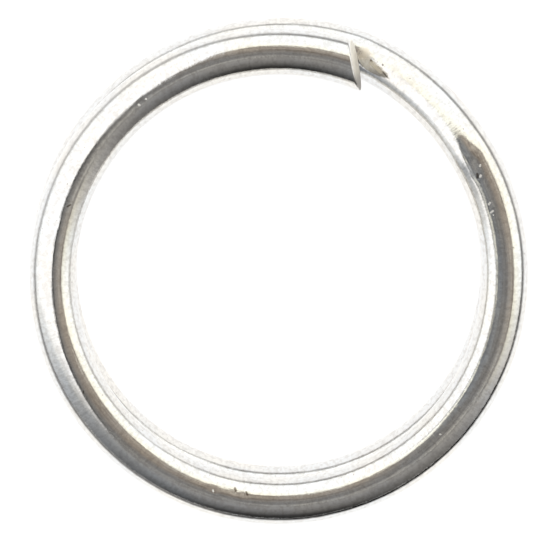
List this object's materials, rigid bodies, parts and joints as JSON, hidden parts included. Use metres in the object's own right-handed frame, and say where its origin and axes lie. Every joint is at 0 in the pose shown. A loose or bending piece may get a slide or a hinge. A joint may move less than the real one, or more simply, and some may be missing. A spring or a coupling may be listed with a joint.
{
  "type": "split key ring",
  "caption": "Flat two-turn coil of round plated spring wire whose ends spring open so that keys can be threaded onto it.",
  "frame": {"origin": "middle of the footprint, on the surface that the ring lies on", "axes": "+Z along the axis of the ring, from the lower turn to the upper turn; +X and +Y in the plane of the ring, with the crossover bend at 50.5 degrees from +X towards +Y"},
  "size_m": [0.025, 0.0253, 0.0048],
  "materials": {
    "plated_wire": "bright nickel plate over hardened spring steel, with fine drawing lines and handling scratches"
  },
  "bodies": {
    "lower_free_end": {"lower_free_end": "plated_wire"},
    "lower_turn_2": {"lower_turn_2": "plated_wire"},
    "lower_turn_3": {"lower_turn_3": "plated_wire"},
    "lower_turn_4": {"lower_turn_4": "plated_wire"},
    "lower_turn_5": {"lower_turn_5": "plated_wire"},
    "lower_turn_6": {"lower_turn_6": "plated_wire"},
    "lower_turn_7": {"lower_turn_7": "plated_wire"},
    "lower_turn_8": {"lower_turn_8": "plated_wire"},
    "crossover_bend": {"crossover_bend": "plated_wire"},
    "upper_turn_8": {"upper_turn_8": "plated_wire"},
    "upper_turn_7": {"upper_turn_7": "plated_wire"},
    "upper_turn_6": {"upper_turn_6": "plated_wire"},
    "upper_turn_5": {"upper_turn_5": "plated_wire"},
    "upper_turn_4": {"upper_turn_4": "plated_wire"},
    "upper_turn_3": {"upper_turn_3": "plated_wire"},
    "upper_turn_2": {"upper_turn_2": "plated_wire"},
    "upper_free_end": {"upper_free_end": "plated_wire"}
  },
  "joints": [
    {"name": "upper_flex_1", "type": "hinge", "parent": "upper_turn_2", "child": "upper_free_end", "pos_m": [-0.0039, 0.01049, 0.00359], "axis": [-0.0919, -0.9958, 0], "range_deg": [0, 0.5539]},
    {"name": "upper_flex_2", "type": "hinge", "parent": "upper_turn_3", "child": "upper_turn_2", "pos_m": [-0.00983, 0.00547, 0.00359], "axis": [0.2188, -0.9758, 0], "range_deg": [0, 1.14]},
    {"name": "upper_flex_3", "type": "hinge", "parent": "upper_turn_4", "child": "upper_turn_3", "pos_m": [-0.01114, -0.00218, 0.00359], "axis": [0.5615, -0.8275, 0], "range_deg": [0, 1.66]},
    {"name": "upper_end_opening", "type": "hinge", "parent": "upper_turn_5", "child": "upper_turn_4", "pos_m": [-0.0072, -0.00888, 0.00359], "axis": [0.8483, -0.5295, 0], "range_deg": [0, 1.96], "stiffness_Nm_per_rad": 11.5},
    {"name": "upper_flex_5", "type": "hinge", "parent": "upper_turn_6", "child": "upper_turn_5", "pos_m": [0.00012, -0.01147, 0.00359], "axis": [0.9999, 0.0109, 0], "range_deg": [0, 1.95]},
    {"name": "upper_flex_6", "type": "hinge", "parent": "upper_turn_7", "child": "upper_turn_6", "pos_m": [0.00739, -0.00872, 0.00359], "axis": [0.7576, 0.6528, 0], "range_deg": [0, 1.5]},
    {"name": "upper_flex_7", "type": "hinge", "parent": "upper_turn_8", "child": "upper_turn_7", "pos_m": [0.01118, -0.00194, 0.00359], "axis": [0.1586, 0.9873, 0], "range_deg": [0, 0.8189]},
    {"name": "upper_flex_8", "type": "hinge", "parent": "crossover_bend", "child": "upper_turn_8", "pos_m": [0.00982, 0.00576, 0.00359], "axis": [-0.515, 0.8572, 0], "range_deg": [0, 0.2371]},
    {"name": "lower_flex_1", "type": "hinge", "parent": "lower_free_end", "child": "lower_turn_2", "pos_m": [0.01118, -0.00165, 0.00118], "axis": [0.9599, 0.2802, 0], "range_deg": [0, 0.5539]},
    {"name": "lower_flex_2", "type": "hinge", "parent": "lower_turn_2", "child": "lower_turn_3", "pos_m": [0.00739, -0.00843, 0.00118], "axis": [0.9996, -0.0286, 0], "range_deg": [0, 1.14]},
    {"name": "lower_flex_3", "type": "hinge", "parent": "lower_turn_3", "child": "lower_turn_4", "pos_m": [0.00012, -0.01118, 0.00118], "axis": [0.9194, -0.3933, 0], "range_deg": [0, 1.66]},
    {"name": "lower_end_opening", "type": "hinge", "parent": "lower_turn_4", "child": "lower_turn_5", "pos_m": [-0.0072, -0.00859, 0.00118], "axis": [0.6816, -0.7317, 0], "range_deg": [0, 1.96], "stiffness_Nm_per_rad": 11.5},
    {"name": "lower_flex_5", "type": "hinge", "parent": "lower_turn_5", "child": "lower_turn_6", "pos_m": [-0.01114, -0.00189, 0.00118], "axis": [0.1801, -0.9837, 0], "range_deg": [0, 1.95]},
    {"name": "lower_flex_6", "type": "hinge", "parent": "lower_turn_6", "child": "lower_turn_7", "pos_m": [-0.00983, 0.00577, 0.00118], "axis": [-0.4962, -0.8682, 0], "range_deg": [0, 1.5]},
    {"name": "lower_flex_7", "type": "hinge", "parent": "lower_turn_7", "child": "lower_turn_8", "pos_m": [-0.0039, 0.01078, 0.00118], "axis": [-0.9389, -0.3441, 0], "range_deg": [0, 0.8189]},
    {"name": "lower_flex_8", "type": "hinge", "parent": "lower_turn_8", "child": "crossover_bend", "pos_m": [0.00392, 0.01091, 0.00118], "axis": [-0.9397, 0.342, 0], "range_deg": [0, 0.2371]}
  ],
  "couplings": [
    {"joint": "upper_flex_1", "follows": "upper_end_opening", "ratio": 0.28005},
    {"joint": "upper_flex_2", "follows": "upper_end_opening", "ratio": 0.57391},
    {"joint": "upper_flex_3", "follows": "upper_end_opening", "ratio": 0.8397},
    {"joint": "upper_flex_5", "follows": "upper_end_opening", "ratio": 0.98794},
    {"joint": "upper_flex_6", "follows": "upper_end_opening", "ratio": 0.75968},
    {"joint": "upper_flex_7", "follows": "upper_end_opening", "ratio": 0.41404},
    {"joint": "upper_flex_8", "follows": "upper_end_opening", "ratio": 0.11988},
    {"joint": "lower_flex_1", "follows": "lower_end_opening", "ratio": 0.28005},
    {"joint": "lower_flex_2", "follows": "lower_end_opening", "ratio": 0.57391},
    {"joint": "lower_flex_3", "follows": "lower_end_opening", "ratio": 0.8397},
    {"joint": "lower_flex_5", "follows": "lower_end_opening", "ratio": 0.98794},
    {"joint": "lower_flex_6", "follows": "lower_end_opening", "ratio": 0.75968},
    {"joint": "lower_flex_7", "follows": "lower_end_opening", "ratio": 0.41404},
    {"joint": "lower_flex_8", "follows": "lower_end_opening", "ratio": 0.11988}
  ]
}
